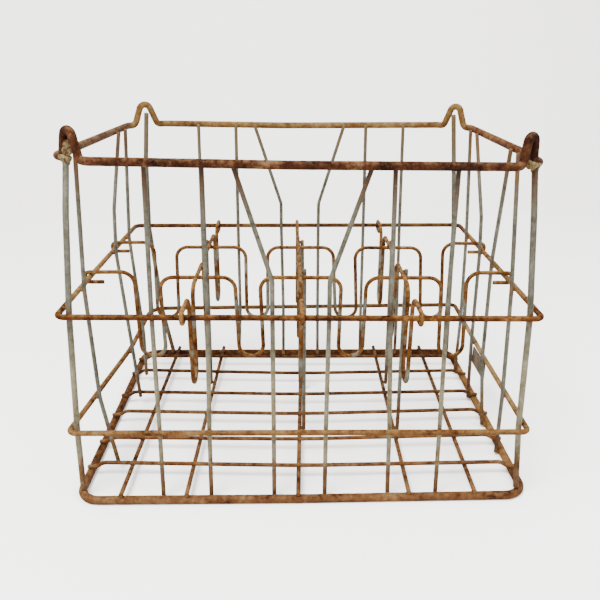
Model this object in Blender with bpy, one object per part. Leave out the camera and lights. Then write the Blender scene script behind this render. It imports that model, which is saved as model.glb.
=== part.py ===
"""Welded round-wire crate for twelve milk bottles, four columns by three rows.

Every wire and rod is its own object. The crate stands on z = 0, x runs along its
length, y runs from the front (negative) to the back, and all sizes below are in
millimetres. Neighbours are welded in the real crate, so here they keep a small gap.
"""

import math

import bpy
from mathutils import Vector

MM = 0.001

# Rod and wire diameters.
RIM_ROD = 7.9
BASE_ROD = 8.8
POST_ROD = 5.8
RING_WIRE = 5.6
UPRIGHT_WIRE = 4.4
DIVIDER_WIRE = 4.4
CROSS_WIRE = 4.7
FLOOR_WIRE = 4.4
WELD_GAP = 0.3
SLANT_GAP = 0.6  # more for the left wires, which pass the dented ring at a slant

# Heights of the rod centre-lines.
MID_RING_Z = 195.0
LOWER_RING_Z = 78.4
BASE_Z = BASE_ROD / 2 * math.cos(math.pi / 8)  # an eight-sided rod rests on one flat
EAR_RISE = 23.5

# Corners in the order front left, front right, rear right, rear left. The crate has
# been knocked about, so no two corners are quite alike.
RIM_CORNERS = [(-215.3, -143, 328), (202, -148, 326), (206, 149, 327), (-208.5, 147, 327)]
MID_CORNERS = [
    (-218.5, -159, MID_RING_Z), (211, -161.5, MID_RING_Z),
    (214.5, 161, MID_RING_Z), (-216.5, 151.5, MID_RING_Z)]
LOWER_CORNERS = [
    (-221, -162.5, LOWER_RING_Z), (214, -161.5, LOWER_RING_Z),
    (220, 163, LOWER_RING_Z), (-204, 147.5, LOWER_RING_Z)]
BASE_CORNERS = [
    (-219, -165.5, BASE_Z), (221, -159, BASE_Z),
    (220, 164, BASE_Z), (-220, 160.5, BASE_Z)]

# Where the middle of a wall's run has been pushed out of line.
RIM_DENTS = {"front": (-10, -145.5, 326), "right": (206.2, -70, 326.3), "rear": (-20, 146.5, 325.5)}
MID_DENTS = {"left": (-218.5, -20, MID_RING_Z), "right": (213.5, 20, MID_RING_Z)}
LOWER_DENTS = {"left": (-203.5, 20, LOWER_RING_Z), "right": (215.5, 0, LOWER_RING_Z)}
BASE_DENTS = {"front": (-10, -164, BASE_Z)}
DENT_BEND = 250.0

MID_BENDS = (8, 8, 8, 8)
LOWER_BENDS = (7, 7, 7, 22)
BASE_BENDS = (20, 20, 20, 20)

# Each ear cuts its corner: how far along the long run, then along the side run.
EAR_CUTS = [(33, 29), (27, 23), (33.5, 32), (38.5, 27.5)]
EAR_TOP_HALF = 5.0
EAR_TOP_BEND = 7.5
EAR_LONG_FLAT = 8.5
EAR_SIDE_FLAT = 10.0
EAR_FLAT_BEND = 9.0
EAR_FOOT_BEND = 10.0

# Uprights: place along the wall at the rim, the middle ring, the lower ring and the foot.
# A cranked wire also names the height of its crank.
FRONT_WIRES = {
    "front_wire_1": (-136, -135.5, -136, -137),
    "front_wire_2": (-87.5, -86, -89, -90),
    "front_wire_3_cranked": (-62, -28.5, -28, -28),
    "front_wire_4_cranked": (57, 22, 21.5, 22),
    "front_wire_5": (75.5, 76.5, 82, 84.5),
    "front_wire_6": (128.5, 126.5, 130, 132.5),
}
REAR_WIRES = {
    "rear_wire_1": (-126, -129, -130, -131.5),
    "rear_wire_2": (-80, -81.5, -81.5, -85.5),
    "rear_wire_3_cranked": (-57, -24.5, -22, -22),
    "rear_wire_4_cranked": (54, 24.5, 25.5, 27),
    "rear_wire_5": (81, 84.5, 86, 88),
    "rear_wire_6": (127.5, 133, 137, 138.5),
}
RIGHT_WIRES = {
    "right_wire_1": (94.5, 98.5, 100, 103),
    "right_wire_2_cranked": (67.5, 35, 37, 34),
    "right_wire_3_cranked": (-54, -14, -15, -30),
    "right_wire_4": (-78, -86.5, -94, -85),
}
LEFT_WIRES = {
    "left_wire_1": (-86.5, -91, -96, None),
    "left_wire_2_cranked": (57.5, 30.5, 10.5, None),
    "left_wire_3": (85, 92.5, 66, None),
}
# The left wires have come off the base rod: where their free ends are.
LEFT_FEET = {
    "left_wire_1": (-192, -112.5),
    "left_wire_2_cranked": (-197.5, 21.5),
    "left_wire_3": (-202, 79),
}
LEFT_FOOT_Z = 12.0
LONG_CRANK_Z = 226.5
RIGHT_CRANK_Z = {"right_wire_2_cranked": 238, "right_wire_3_cranked": 199}
LEFT_CRANK_Z = {"left_wire_2_cranked": 247}
LEFT_CRANK_Y = {"left_wire_2_cranked": 27.5}
CRANK_BEND = 16.0
WIRE_BEND = 30.0
UPRIGHT_TOP_Z = 326.8
UPRIGHT_FOOT_Z = 3.2
REAR_FOOT_Z = 5.0

# Corner posts. The top of each is given by its offset from the middle of its ear towards
# the side run, its offset into the crate, and its height; then come the places that it
# passes on its way down. The front ones end under a leg of the ear, the rear ones in it.
POST_TOPS = [(7.6, 0, 325.8), (11.3, 0, 321.5), (0, 4, 341), (0, 4, 341)]
POSTS = [
    ("corner_post_front_left",
     [(-204.7, -139, 285), (-208.5, -152.5, 195), (-214.1, -155.3, 78.4), (-216, -154.9, 9.3)]),
    ("corner_post_front_right",
     [(197.5, -140.5, 285), (201.5, -154.5, 195), (206.5, -154, 78.4), (213, -153.5, 9.3)]),
    ("corner_post_rear_right",
     [(193.5, 136, 285), (206, 155, 195), (210, 153, 78.4), (213.6, 157.5, 9.3)]),
    ("corner_post_rear_left",
     [(-192.5, 134, 288), (-198, 145.5, 195), (-187.5, 140, 78.4), (-178, 149.5, 11)]),
]

# Dividers. A dip hangs between two neighbouring bottles, a hump bridges a crossing.
ROW_DIPS = {
    "row_divider_front": [(-160.5, 1.5), (-57, 3), (53.5, -1), (157.5, 4)],
    "row_divider_rear": [(-160.5, -2), (-52.5, -0.5), (51.5, 5), (156, 6)],
}
COLUMN_DIPS = {
    "column_divider_left": [(-108, -0.5), (0.5, 0), (112, 3)],
    "column_divider_center": [(-107.5, 0), (0.5, 0), (108.5, 0)],
    "column_divider_right": [(-107.5, 0), (0.5, 0), (107.5, -3)],
}
DIP_HALF = 13.0
HUMP_BEND = 13.5
DIP_BOTTOM_Z = 105.0
ROW_DIVIDER_HUMP_Z = 194.8
ROW_DIVIDER_END_Z = 200.6
COLUMN_DIVIDER_Z = ROW_DIVIDER_HUMP_Z + DIVIDER_WIRE + WELD_GAP
HOOK_STUB = 14.0
ROW_DIVIDERS = {"row_divider_front": -53, "row_divider_rear": 54.5}
COLUMN_DIVIDERS = {
    "column_divider_left": (-107.5, -107.5),
    "column_divider_center": (-2, -3.5),
    "column_divider_right": (102.5, 105),
}

# Legs that stand beside the crossings of the dividers. The front left one is lost.
# Each names the two dividers that cross there, its side of the second one, and the
# floor wire beside its foot.
DIVIDER_LEGS = {
    "divider_leg_front_center": ("row_divider_front", "column_divider_center", 1, "cross_wire_3"),
    "divider_leg_front_right": ("row_divider_front", "column_divider_right", 1, "cross_wire_4"),
    "divider_leg_rear_left": ("row_divider_rear", "column_divider_left", -1, "cross_wire_2"),
    "divider_leg_rear_center": ("row_divider_rear", "column_divider_center", 1, "cross_wire_3"),
    "divider_leg_rear_right": ("row_divider_rear", "column_divider_right", 1, "cross_wire_4"),
}
LEG_TOP_Z = 202.5
LEG_FOOT_Z = 9.2

# Floor. Cross wires give x at the front and at the back; long wires give y at the left
# end, in the middle and at the right end.
CROSS_WIRES = {
    "cross_wire_1": (-176.5, -171.5),
    "cross_wire_2": (-113, -108),
    "cross_wire_3": (-4.5, 3.5),
    "cross_wire_4": (104, 108.5),
    "cross_wire_5": (169, 175),
}
LONG_WIRES = {
    "long_wire_1": (-120.5, -126.5, -121),
    "long_wire_2": (-74.5, -78.5, -70),
    "long_wire_3": (-19.5, -26, -16.5),
    "long_wire_4": (26, 20, 28),
    "long_wire_5": (84, 75, 83),
    "long_wire_6": (126, 123.5, 126),
}
CROSS_Z = BASE_Z + (BASE_ROD + CROSS_WIRE) / 2 + WELD_GAP
LONG_END_Z = BASE_Z + (BASE_ROD + FLOOR_WIRE) / 2 + WELD_GAP
LONG_FLAT_Z = CROSS_Z + (CROSS_WIRE + FLOOR_WIRE) / 2 + WELD_GAP
CROSS_OVERHANG = 3.2
LONG_OVERHANG = 2.4
LONG_STEP_START = 6.5
LONG_STEP_END = 14.0

# Blank plate on the right wall, under the lower ring.
PLATE_LENGTH = 50.5
PLATE_HEIGHT = 21.5
PLATE_THICKNESS = 1.2
PLATE_CENTER_Y = 9.2
PLATE_TOP_Z = LOWER_RING_Z - RING_WIRE / 2 - WELD_GAP

# The whole crate is moved so that its bounding box is centred on the origin.
CENTERING = Vector((0.5, 0.76, 0.0))

BEND_STEP = math.radians(26)
FINE = 3
COARSE = 2

MATERIALS = {
    "rim_rust": ((0.20, 0.10, 0.06), 0.85, 0.2),
    "base_rust": ((0.17, 0.09, 0.05), 0.88, 0.2),
    "ring_rust": ((0.30, 0.14, 0.06), 0.85, 0.2),
    "galvanised": ((0.36, 0.37, 0.33), 0.55, 0.7),
    "divider_rust": ((0.32, 0.16, 0.07), 0.85, 0.2),
    "floor_rust": ((0.18, 0.09, 0.06), 0.88, 0.2),
    "plate_metal": ((0.30, 0.26, 0.20), 0.6, 0.5),
}


def clear_scene():
    for item in list(bpy.data.objects):
        bpy.data.objects.remove(item)


def make_material(name):
    color, roughness, metallic = MATERIALS[name]
    material = bpy.data.materials.new(name)
    material.use_nodes = True
    shader = material.node_tree.nodes["Principled BSDF"]
    shader.inputs["Base Color"].default_value = (*color, 1.0)
    shader.inputs["Roughness"].default_value = roughness
    shader.inputs["Metallic"].default_value = metallic
    return material


def bend_points(before, corner, after, radius):
    """Points of the arc that rounds one corner of a route."""
    to_before = (before - corner).normalized()
    to_after = (after - corner).normalized()
    turn = math.pi - to_before.angle(to_after)
    if turn < math.radians(2):
        return [corner]
    reach = radius * math.tan(turn / 2)
    limit = 0.5 * min((before - corner).length, (after - corner).length)
    if reach > limit:
        reach = limit
        radius = reach / math.tan(turn / 2)
    middle = (to_before + to_after).normalized()
    center = corner + middle * math.hypot(reach, radius)
    start = corner + to_before * reach - center
    end = corner + to_after * reach - center
    count = max(1, math.ceil(turn / BEND_STEP))
    points = []
    for step in range(count + 1):
        share = step / count
        weight_start = math.sin((1 - share) * turn) / math.sin(turn)
        weight_end = math.sin(share * turn) / math.sin(turn)
        points.append(center + start * weight_start + end * weight_end)
    return points


def rounded(route, closed=False):
    """Turn a list of (point, bend radius) into the points of a smooth centre-line."""
    corners = [(Vector(point), radius) for point, radius in route]
    count = len(corners)
    points = []
    for index, (corner, radius) in enumerate(corners):
        is_end = not closed and index in (0, count - 1)
        if is_end or radius == 0:
            points.append(corner)
            continue
        before = corners[index - 1][0]
        after = corners[(index + 1) % count][0]
        points.extend(bend_points(before, corner, after, radius))
    return points


def add_rod(name, route, diameter, material, closed=False, roundness=COARSE, tilt=0.0):
    """One wire or rod: a curve along the rounded route, with flat cut ends."""
    points = rounded(route, closed)
    curve = bpy.data.curves.new(name, "CURVE")
    curve.dimensions = "3D"
    curve.twist_mode = "Z_UP" if closed else "MINIMUM"
    curve.bevel_depth = diameter / 2 * MM
    curve.bevel_resolution = roundness
    curve.render_resolution_u = 0
    curve.use_fill_caps = not closed
    spline = curve.splines.new("POLY")
    spline.points.add(len(points) - 1)
    for spot, point in zip(spline.points, points):
        spot.co = (*((point + CENTERING) * MM), 1.0)
        spot.tilt = tilt
    spline.use_cyclic_u = closed
    rod = bpy.data.objects.new(name, curve)
    rod.data.materials.append(material)
    bpy.context.collection.objects.link(rod)
    return rod


def contact(first, second):
    """Distance between the centre-lines of two wires that lie against each other."""
    return (first + second) / 2 + WELD_GAP


def along(run, axis, value):
    """Point and direction of a run where its x (0) or y (1) has the given value."""
    for first, second in zip(run, run[1:]):
        low, high = sorted((first[axis], second[axis]))
        if low <= value <= high:
            first, second = Vector(first), Vector(second)
            share = (value - first[axis]) / (second[axis] - first[axis])
            return first.lerp(second, share), (second - first).normalized()
    raise ValueError("the value lies outside the run")


def wall_run(corners, dents, wall):
    """The run of a ring along one wall, through its dent if it has one."""
    front_left, front_right, rear_right, rear_left = corners
    runs = {
        "front": (front_left, front_right),
        "rear": (rear_left, rear_right),
        "left": (front_left, rear_left),
        "right": (front_right, rear_right),
    }
    start, end = runs[wall]
    return [start, dents[wall], end] if wall in dents else [start, end]


def against(run, wall, place, distance):
    """x and y of a wire that lies inside a wall's run at the given place along it."""
    axis = 0 if wall in ("front", "rear") else 1
    point, direction = along(run, axis, place)
    inward = Vector((-direction.y, direction.x, 0)).normalized()
    if wall in ("rear", "left"):
        inward.negate()
    return (point + inward * distance).xy


def add_ring(name, corners, dents, bends, diameter, material, tilt=0.0):
    route = []
    for corner, bend, wall in zip(corners, bends, ("front", "right", "rear", "left")):
        route.append((corner, bend))
        if wall in dents:
            route.append((dents[wall], DENT_BEND))
    add_rod(name, route, diameter, material, closed=True, tilt=tilt)


def ear_ends(index):
    """Where an ear leaves the long run and the side run of the rim."""
    x, y, z = RIM_CORNERS[index]
    cut_x, cut_y = EAR_CUTS[index]
    toward_x = -math.copysign(1, x)
    toward_y = -math.copysign(1, y)
    return Vector((x + toward_x * cut_x, y, z)), Vector((x, y + toward_y * cut_y, z))


def rim_run(wall):
    """The straight run of the rim along one wall, between its two ears."""
    ends = [ear_ends(index) for index in range(4)]
    runs = {
        "front": (ends[0][0], ends[1][0]),
        "rear": (ends[3][0], ends[2][0]),
        "left": (ends[0][1], ends[3][1]),
        "right": (ends[1][1], ends[2][1]),
    }
    start, end = runs[wall]
    return [start, RIM_DENTS[wall], end] if wall in RIM_DENTS else [start, end]


def ear_route(start, end, start_flat, end_flat):
    """Hump of the rim that crosses one corner from start to end, with a short flat at each."""
    middle = (start + end) / 2 + Vector((0, 0, EAR_RISE))
    along_chord = (end - start).normalized()
    return [
        (start, EAR_FLAT_BEND),
        (start + along_chord * start_flat, EAR_FOOT_BEND),
        (middle - along_chord * EAR_TOP_HALF, EAR_TOP_BEND),
        (middle + along_chord * EAR_TOP_HALF, EAR_TOP_BEND),
        (end - along_chord * end_flat, EAR_FOOT_BEND),
        (end, EAR_FLAT_BEND),
    ]


def build_rim(material):
    route = []
    for index, wall in enumerate(("front", "right", "rear", "left")):
        long_end, side_end = ear_ends(index)
        if index % 2 == 0:
            route.extend(ear_route(side_end, long_end, EAR_SIDE_FLAT, EAR_LONG_FLAT))
        else:
            route.extend(ear_route(long_end, side_end, EAR_LONG_FLAT, EAR_SIDE_FLAT))
        if wall in RIM_DENTS:
            route.append((RIM_DENTS[wall], DENT_BEND))
    add_rod("top_rim", route, RIM_ROD, material, closed=True, roundness=FINE)


def upright_route(wall, places, crank=None, crank_place=None, foot=None, foot_z=UPRIGHT_FOOT_Z):
    """Route of a wall wire from the rim to its foot, inside all four rods."""
    rim, middle, lower, base = places
    ring_reach = contact(RING_WIRE, UPRIGHT_WIRE)
    top = against(rim_run(wall), wall, rim, contact(RIM_ROD, UPRIGHT_WIRE))
    ring = against(wall_run(MID_CORNERS, MID_DENTS, wall), wall, middle, ring_reach)
    low_reach = ring_reach + SLANT_GAP if wall == "left" else ring_reach
    low = against(wall_run(LOWER_CORNERS, LOWER_DENTS, wall), wall, lower, low_reach)
    if foot is None:
        base_run = wall_run(BASE_CORNERS, BASE_DENTS, wall)
        foot = against(base_run, wall, base, contact(BASE_ROD, UPRIGHT_WIRE))
    route = [((*top, UPRIGHT_TOP_Z), 0)]
    if crank:
        share = (UPRIGHT_TOP_Z - crank) / (UPRIGHT_TOP_Z - MID_RING_Z)
        axis = 0 if wall in ("front", "rear") else 1
        bend = [a + (b - a) * share for a, b in zip(top, ring)]
        bend[axis] = middle if crank_place is None else crank_place
        route.append(((*bend, crank), CRANK_BEND))
    route.append(((*ring, MID_RING_Z), WIRE_BEND))
    route.append(((*low, LOWER_RING_Z), WIRE_BEND))
    route.append(((*foot, foot_z), 0))
    return route


def post_top(index):
    """Top of a corner post, by its ear."""
    aside, inset, z = POST_TOPS[index]
    long_end, side_end = ear_ends(index)
    chord = (side_end - long_end).normalized()
    inward = Vector((-chord.y, chord.x, 0)).normalized()
    if inward.x * long_end.x > 0:
        inward.negate()
    top = (long_end + side_end) / 2 + chord * aside + inward * inset
    return top.x, top.y, z


def build_uprights(material):
    for name, places in FRONT_WIRES.items():
        crank = LONG_CRANK_Z if "cranked" in name else None
        add_rod(name, upright_route("front", places, crank), UPRIGHT_WIRE, material)
    for name, places in REAR_WIRES.items():
        crank = LONG_CRANK_Z if "cranked" in name else None
        route = upright_route("rear", places, crank, foot_z=REAR_FOOT_Z)
        add_rod(name, route, UPRIGHT_WIRE, material)
    for name, places in RIGHT_WIRES.items():
        route = upright_route("right", places, RIGHT_CRANK_Z.get(name))
        add_rod(name, route, UPRIGHT_WIRE, material)
    for name, places in LEFT_WIRES.items():
        route = upright_route(
            "left", places, LEFT_CRANK_Z.get(name), LEFT_CRANK_Y.get(name),
            foot=LEFT_FEET[name], foot_z=LEFT_FOOT_Z)
        add_rod(name, route, UPRIGHT_WIRE, material)
    for index, (name, points) in enumerate(POSTS):
        route = [(post_top(index), 0)]
        route.extend((point, WIRE_BEND) for point in points)
        add_rod(name, route, POST_ROD, material)


def hook_route(ring_at, z, side):
    """Hook round a ring wire, as (distance, height) pairs, from its stub to the inside."""
    reach = contact(RING_WIRE, DIVIDER_WIRE)
    return [
        ((ring_at - side * HOOK_STUB, z - reach), 0),
        ((ring_at + side * reach, z - reach), reach),
        ((ring_at + side * reach, z + reach), reach),
    ]


def meander_route(dips, hump_z, end_z, start_ring, end_ring):
    """Hooked end, dips and humps in turn, hooked end, as (distance, height) pairs."""
    route = hook_route(start_ring, MID_RING_Z, -1)
    for index, (top, lean) in enumerate(dips):
        before_z = end_z if index == 0 else hump_z
        after_z = end_z if index == len(dips) - 1 else hump_z
        bottom = top + lean
        route.append(((top - DIP_HALF, before_z), HUMP_BEND))
        route.append(((bottom - DIP_HALF, DIP_BOTTOM_Z), DIP_HALF))
        route.append(((bottom + DIP_HALF, DIP_BOTTOM_Z), DIP_HALF))
        route.append(((top + DIP_HALF, after_z), HUMP_BEND))
    route.extend(reversed(hook_route(end_ring, MID_RING_Z, 1)))
    return route


def build_row_dividers(material):
    for name, y in ROW_DIVIDERS.items():
        left = along(wall_run(MID_CORNERS, MID_DENTS, "left"), 1, y)[0].x
        right = along(wall_run(MID_CORNERS, MID_DENTS, "right"), 1, y)[0].x
        flat = meander_route(
            ROW_DIPS[name], ROW_DIVIDER_HUMP_Z, ROW_DIVIDER_END_Z, left, right)
        route = [((x, y, z), radius) for (x, z), radius in flat]
        add_rod(name, route, DIVIDER_WIRE, material)


def column_x(name, y):
    """x of a column divider, which may run slightly askew."""
    front_x, rear_x = COLUMN_DIVIDERS[name]
    front_y = MID_CORNERS[0][1]
    rear_y = MID_CORNERS[2][1]
    return front_x + (rear_x - front_x) * (y - front_y) / (rear_y - front_y)


def build_column_dividers(material):
    for name, (front_x, rear_x) in COLUMN_DIVIDERS.items():
        front = along(wall_run(MID_CORNERS, MID_DENTS, "front"), 0, front_x)[0].y
        rear = along(wall_run(MID_CORNERS, MID_DENTS, "rear"), 0, rear_x)[0].y
        flat = meander_route(
            COLUMN_DIPS[name], COLUMN_DIVIDER_Z, COLUMN_DIVIDER_Z + WELD_GAP, front, rear)
        route = [((column_x(name, y), y, z), radius) for (y, z), radius in flat]
        add_rod(name, route, DIVIDER_WIRE, material)


def cross_x(name, y):
    """x of a floor cross wire at the given y."""
    front_x, rear_x = CROSS_WIRES[name]
    front_y = BASE_CORNERS[0][1]
    rear_y = BASE_CORNERS[2][1]
    return front_x + (rear_x - front_x) * (y - front_y) / (rear_y - front_y)


def build_divider_legs(material):
    for name, (row_divider, column_divider, side, wire) in DIVIDER_LEGS.items():
        y = ROW_DIVIDERS[row_divider] + contact(DIVIDER_WIRE, UPRIGHT_WIRE)
        top_x = column_x(column_divider, y) + side * contact(DIVIDER_WIRE, UPRIGHT_WIRE)
        foot_x = cross_x(wire, y) + side * contact(CROSS_WIRE, UPRIGHT_WIRE)
        route = [((top_x, y, LEG_TOP_Z), 0), ((foot_x, y, LEG_FOOT_Z), 0)]
        add_rod(name, route, UPRIGHT_WIRE, material)


def build_floor(material):
    for name, (front_x, rear_x) in CROSS_WIRES.items():
        front_y = along(wall_run(BASE_CORNERS, BASE_DENTS, "front"), 0, front_x)[0].y - CROSS_OVERHANG
        rear_y = along(wall_run(BASE_CORNERS, BASE_DENTS, "rear"), 0, rear_x)[0].y + CROSS_OVERHANG
        route = [((front_x, front_y, CROSS_Z), 0), ((rear_x, rear_y, CROSS_Z), 0)]
        add_rod(name, route, CROSS_WIRE, material)
    for name, (left_y, middle_y, right_y) in LONG_WIRES.items():
        left = along(wall_run(BASE_CORNERS, BASE_DENTS, "left"), 1, left_y)[0].x
        right = along(wall_run(BASE_CORNERS, BASE_DENTS, "right"), 1, right_y)[0].x
        route = [
            ((left - LONG_OVERHANG, left_y, LONG_END_Z), 0),
            ((left + LONG_STEP_START, left_y, LONG_END_Z), HUMP_BEND),
            ((left + LONG_STEP_END, left_y, LONG_FLAT_Z), HUMP_BEND),
            ((0, middle_y, LONG_FLAT_Z), 40 * HUMP_BEND),
            ((right - LONG_STEP_END, right_y, LONG_FLAT_Z), HUMP_BEND),
            ((right - LONG_STEP_START, right_y, LONG_END_Z), HUMP_BEND),
            ((right + LONG_OVERHANG, right_y, LONG_END_Z), 0),
        ]
        add_rod(name, route, FLOOR_WIRE, material)


def build_plate(material):
    """Blank plate with rounded corners, on the outer face of two right wires."""
    ring_reach = contact(RING_WIRE, UPRIGHT_WIRE)
    run = wall_run(LOWER_CORNERS, LOWER_DENTS, "right")
    wire_x = against(run, "right", PLATE_CENTER_Y, ring_reach).x
    inner_x = wire_x + UPRIGHT_WIRE / 2 + 2 * WELD_GAP
    low = Vector((inner_x, PLATE_CENTER_Y - PLATE_LENGTH / 2, PLATE_TOP_Z - PLATE_HEIGHT))
    high = Vector((inner_x + PLATE_THICKNESS, PLATE_CENTER_Y + PLATE_LENGTH / 2, PLATE_TOP_Z))
    corners = [Vector((x, y, z)) for x in (low.x, high.x) for y in (low.y, high.y)
               for z in (low.z, high.z)]
    faces = [(0, 1, 3, 2), (4, 6, 7, 5), (0, 4, 5, 1), (2, 3, 7, 6), (0, 2, 6, 4), (1, 5, 7, 3)]
    mesh = bpy.data.meshes.new("name_plate")
    mesh.from_pydata([(corner + CENTERING) * MM for corner in corners], [], faces)
    mesh.materials.append(material)
    plate = bpy.data.objects.new("name_plate", mesh)
    bpy.context.collection.objects.link(plate)
    bevel = plate.modifiers.new("Edges", "BEVEL")
    bevel.width = PLATE_THICKNESS / 4 * MM
    bevel.segments = 1


def main():
    clear_scene()
    materials = {name: make_material(name) for name in MATERIALS}
    build_rim(materials["rim_rust"])
    ring_rust = materials["ring_rust"]
    add_ring("mid_ring", MID_CORNERS, MID_DENTS, MID_BENDS, RING_WIRE, ring_rust)
    add_ring("lower_ring", LOWER_CORNERS, LOWER_DENTS, LOWER_BENDS, RING_WIRE, ring_rust)
    add_ring("base_frame", BASE_CORNERS, BASE_DENTS, BASE_BENDS, BASE_ROD,
             materials["base_rust"], tilt=math.radians(22.5))
    build_uprights(materials["galvanised"])
    build_row_dividers(materials["divider_rust"])
    build_column_dividers(materials["divider_rust"])
    build_divider_legs(materials["galvanised"])
    build_floor(materials["floor_rust"])
    build_plate(materials["plate_metal"])


main()
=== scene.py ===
"""Rusty welded round-wire crate for twelve milk bottles, in a pale studio.

Every wire and rod follows the same route as its solid in the frame, as a finer tube
with pitted skin, cut ends and weld beads. Sizes below are in millimetres.
"""

import math

import bmesh
import bpy
from mathutils import Matrix, Vector, kdtree, noise


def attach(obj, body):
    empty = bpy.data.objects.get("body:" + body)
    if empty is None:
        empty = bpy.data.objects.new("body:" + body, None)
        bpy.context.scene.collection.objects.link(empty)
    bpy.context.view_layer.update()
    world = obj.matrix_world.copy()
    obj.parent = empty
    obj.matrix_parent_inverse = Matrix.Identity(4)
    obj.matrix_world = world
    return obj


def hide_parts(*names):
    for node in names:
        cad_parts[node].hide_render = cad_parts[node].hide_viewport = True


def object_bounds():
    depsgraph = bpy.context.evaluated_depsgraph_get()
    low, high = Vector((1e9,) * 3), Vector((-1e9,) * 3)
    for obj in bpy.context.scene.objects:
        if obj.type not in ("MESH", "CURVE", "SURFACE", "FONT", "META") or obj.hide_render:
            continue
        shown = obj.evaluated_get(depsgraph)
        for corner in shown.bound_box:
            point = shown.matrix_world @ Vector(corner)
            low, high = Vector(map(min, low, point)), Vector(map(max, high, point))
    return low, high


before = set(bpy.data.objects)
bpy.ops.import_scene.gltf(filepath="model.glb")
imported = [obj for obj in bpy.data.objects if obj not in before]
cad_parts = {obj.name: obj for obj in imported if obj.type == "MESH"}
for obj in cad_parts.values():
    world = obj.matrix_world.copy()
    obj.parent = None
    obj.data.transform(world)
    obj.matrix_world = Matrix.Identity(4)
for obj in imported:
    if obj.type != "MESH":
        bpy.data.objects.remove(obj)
CAD_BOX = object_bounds()

MM = 0.001

# Rod and wire diameters.
RIM_ROD = 7.9
BASE_ROD = 8.8
POST_ROD = 5.8
RING_WIRE = 5.6
UPRIGHT_WIRE = 4.4
DIVIDER_WIRE = 4.4
CROSS_WIRE = 4.7
FLOOR_WIRE = 4.4
WELD_GAP = 0.3
SLANT_GAP = 0.6  # more for the left wires, which pass the dented ring at a slant

# Heights of the rod centre-lines.
MID_RING_Z = 195.0
LOWER_RING_Z = 78.4
BASE_Z = BASE_ROD / 2 * math.cos(math.pi / 8)  # an eight-sided rod rests on one flat
EAR_RISE = 23.5

# Corners in the order front left, front right, rear right, rear left. The crate has
# been knocked about, so no two corners are quite alike.
RIM_CORNERS = [(-215.3, -143, 328), (202, -148, 326), (206, 149, 327), (-208.5, 147, 327)]
MID_CORNERS = [
    (-218.5, -159, MID_RING_Z), (211, -161.5, MID_RING_Z),
    (214.5, 161, MID_RING_Z), (-216.5, 151.5, MID_RING_Z)]
LOWER_CORNERS = [
    (-221, -162.5, LOWER_RING_Z), (214, -161.5, LOWER_RING_Z),
    (220, 163, LOWER_RING_Z), (-204, 147.5, LOWER_RING_Z)]
BASE_CORNERS = [
    (-219, -165.5, BASE_Z), (221, -159, BASE_Z),
    (220, 164, BASE_Z), (-220, 160.5, BASE_Z)]

# Where the middle of a wall's run has been pushed out of line.
RIM_DENTS = {"front": (-10, -145.5, 326), "right": (206.2, -70, 326.3), "rear": (-20, 146.5, 325.5)}
MID_DENTS = {"left": (-218.5, -20, MID_RING_Z), "right": (213.5, 20, MID_RING_Z)}
LOWER_DENTS = {"left": (-203.5, 20, LOWER_RING_Z), "right": (215.5, 0, LOWER_RING_Z)}
BASE_DENTS = {"front": (-10, -164, BASE_Z)}
DENT_BEND = 250.0

MID_BENDS = (8, 8, 8, 8)
LOWER_BENDS = (7, 7, 7, 22)
BASE_BENDS = (20, 20, 20, 20)

# Each ear cuts its corner: how far along the long run, then along the side run.
EAR_CUTS = [(33, 29), (27, 23), (33.5, 32), (38.5, 27.5)]
EAR_TOP_HALF = 5.0
EAR_TOP_BEND = 7.5
EAR_LONG_FLAT = 8.5
EAR_SIDE_FLAT = 10.0
EAR_FLAT_BEND = 9.0
EAR_FOOT_BEND = 10.0

# Uprights: place along the wall at the rim, the middle ring, the lower ring and the foot.
# A cranked wire also names the height of its crank.
FRONT_WIRES = {
    "front_wire_1": (-136, -135.5, -136, -137),
    "front_wire_2": (-87.5, -86, -89, -90),
    "front_wire_3_cranked": (-62, -28.5, -28, -28),
    "front_wire_4_cranked": (57, 22, 21.5, 22),
    "front_wire_5": (75.5, 76.5, 82, 84.5),
    "front_wire_6": (128.5, 126.5, 130, 132.5),
}
REAR_WIRES = {
    "rear_wire_1": (-126, -129, -130, -131.5),
    "rear_wire_2": (-80, -81.5, -81.5, -85.5),
    "rear_wire_3_cranked": (-57, -24.5, -22, -22),
    "rear_wire_4_cranked": (54, 24.5, 25.5, 27),
    "rear_wire_5": (81, 84.5, 86, 88),
    "rear_wire_6": (127.5, 133, 137, 138.5),
}
RIGHT_WIRES = {
    "right_wire_1": (94.5, 98.5, 100, 103),
    "right_wire_2_cranked": (67.5, 35, 37, 34),
    "right_wire_3_cranked": (-54, -14, -15, -30),
    "right_wire_4": (-78, -86.5, -94, -85),
}
LEFT_WIRES = {
    "left_wire_1": (-86.5, -91, -96, None),
    "left_wire_2_cranked": (57.5, 30.5, 10.5, None),
    "left_wire_3": (85, 92.5, 66, None),
}
# The left wires have come off the base rod: where their free ends are.
LEFT_FEET = {
    "left_wire_1": (-192, -112.5),
    "left_wire_2_cranked": (-197.5, 21.5),
    "left_wire_3": (-202, 79),
}
LEFT_FOOT_Z = 12.0
LONG_CRANK_Z = 226.5
RIGHT_CRANK_Z = {"right_wire_2_cranked": 238, "right_wire_3_cranked": 199}
LEFT_CRANK_Z = {"left_wire_2_cranked": 247}
LEFT_CRANK_Y = {"left_wire_2_cranked": 27.5}
CRANK_BEND = 16.0
WIRE_BEND = 30.0
UPRIGHT_TOP_Z = 326.8
UPRIGHT_FOOT_Z = 3.2
REAR_FOOT_Z = 5.0

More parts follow.
